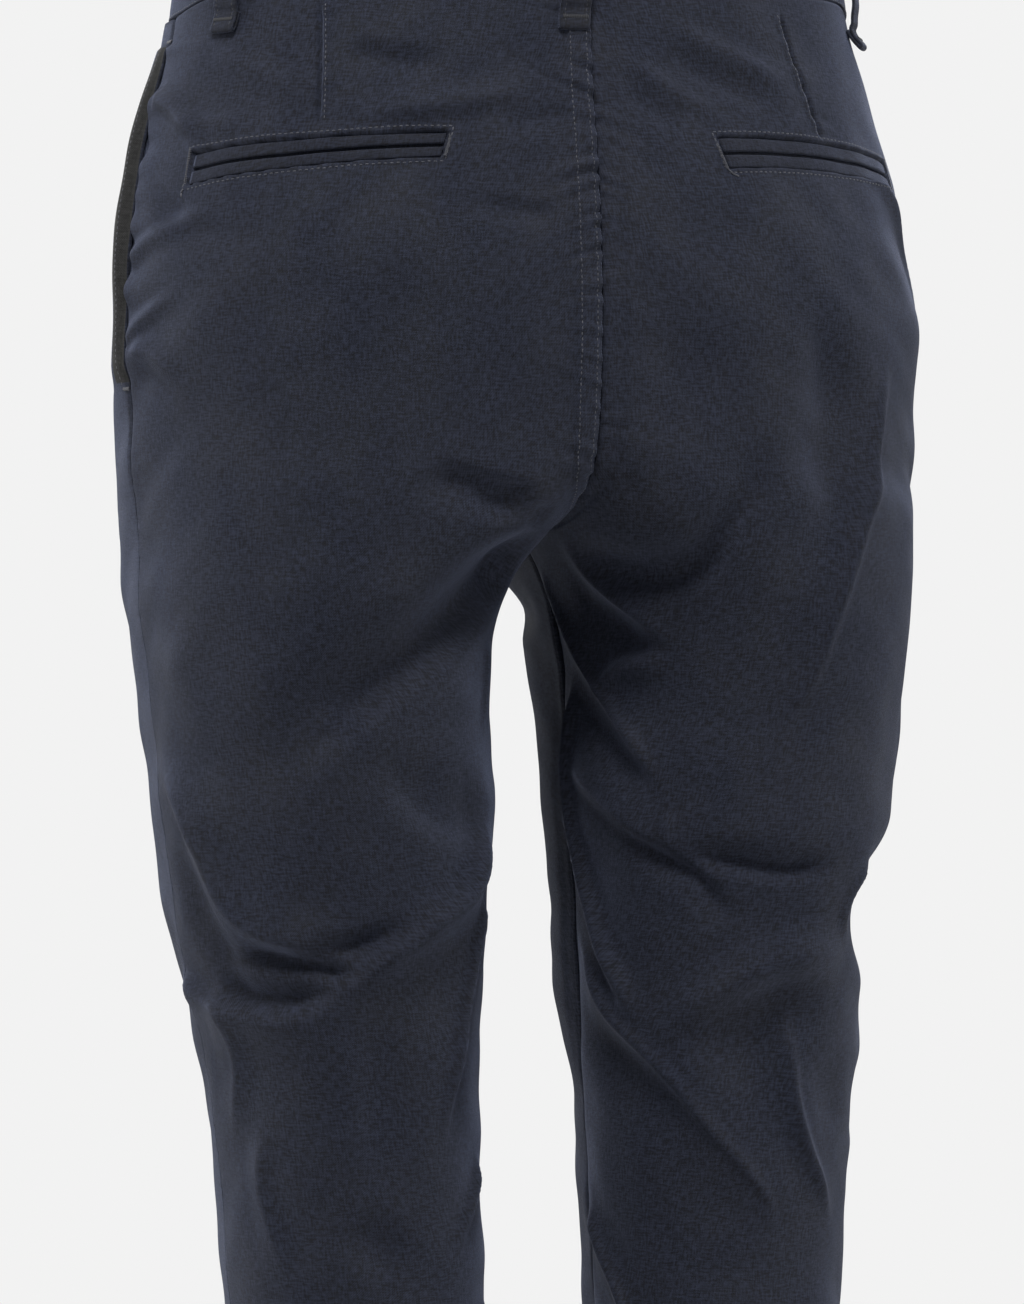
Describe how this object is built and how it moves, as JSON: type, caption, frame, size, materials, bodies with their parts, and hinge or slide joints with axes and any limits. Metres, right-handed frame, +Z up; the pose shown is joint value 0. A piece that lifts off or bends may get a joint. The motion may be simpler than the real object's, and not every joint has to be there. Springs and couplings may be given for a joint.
{
  "type": "worn chino trousers",
  "caption": "Worn navy chino trousers as hollow cloth walls, with waistband, belt loops, jetted back pockets, side pockets and a buttoned fly.",
  "frame": {"origin": "centre of the waist opening, at the top edge of the waistband", "axes": "+Z up out of the waist opening, -Y to the wearer's front, +X to the wearer's left"},
  "size_m": [0.3692, 0.2471, 1.0202],
  "materials": {
    "cloth": "navy stretch cotton twill, matt with a soft sheen at the edges",
    "pocket_cloth": "the same cloth, a shade darker inside the pocket mouths",
    "button": "dark four-hole button, low gloss"
  },
  "bodies": {
    "root": {"back_left": "cloth", "back_right": "cloth", "front_left": "cloth", "front_right": "cloth", "waistband_left": "cloth", "waistband_right": "cloth", "belt_loop_centre_back": "cloth", "belt_loop_back_left": "cloth", "belt_loop_back_right": "cloth", "belt_loop_front_left": "cloth", "belt_loop_front_right": "cloth", "back_pocket_left_upper_jet": "pocket_cloth", "back_pocket_left_lower_jet": "pocket_cloth", "back_pocket_right_upper_jet": "pocket_cloth", "back_pocket_right_lower_jet": "pocket_cloth", "side_pocket_facing_left": "pocket_cloth", "side_pocket_facing_right": "pocket_cloth", "fly_shield": "cloth", "waist_button": "button"}
  },
  "joints": []
}
